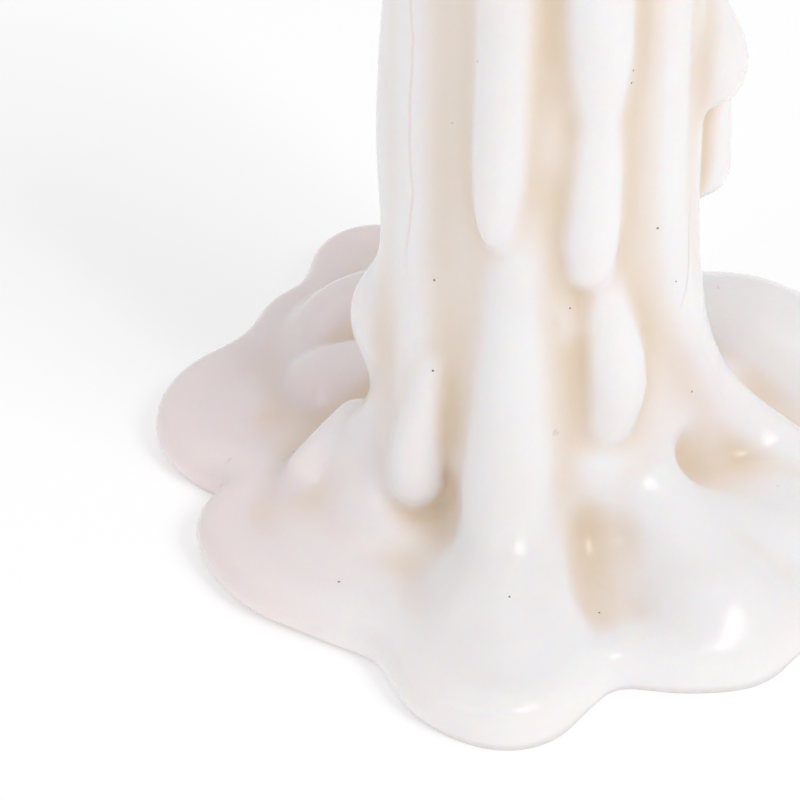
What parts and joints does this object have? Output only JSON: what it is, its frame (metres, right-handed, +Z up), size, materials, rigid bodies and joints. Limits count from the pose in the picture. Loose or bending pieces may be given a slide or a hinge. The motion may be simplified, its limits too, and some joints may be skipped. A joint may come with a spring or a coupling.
{
  "type": "melted candle",
  "caption": "Free-standing pillar candle, burned and run: fluted column of set drips in a thick lobed pool of wax, with a burned wick in a shallow well.",
  "frame": {"origin": "on the ground under the candle, at the centre of the pool's bounding box, with the wick's axis 0.7 mm towards +X and 2.7 mm towards -Y of it", "axes": "+Z up the wick; -Y is the front, where the longest lobe of the pool lies; +X to the right"},
  "size_m": [0.1231, 0.1285, 0.1497],
  "materials": {
    "wax": "smooth ivory wax, softly glossy",
    "wick": "braided cotton, waxed, charred at the tip",
    "tab": "thin tinned steel"
  },
  "bodies": {
    "root": {"wax_body": "wax", "wick": "wick", "wick_tab": "tab"}
  },
  "joints": []
}
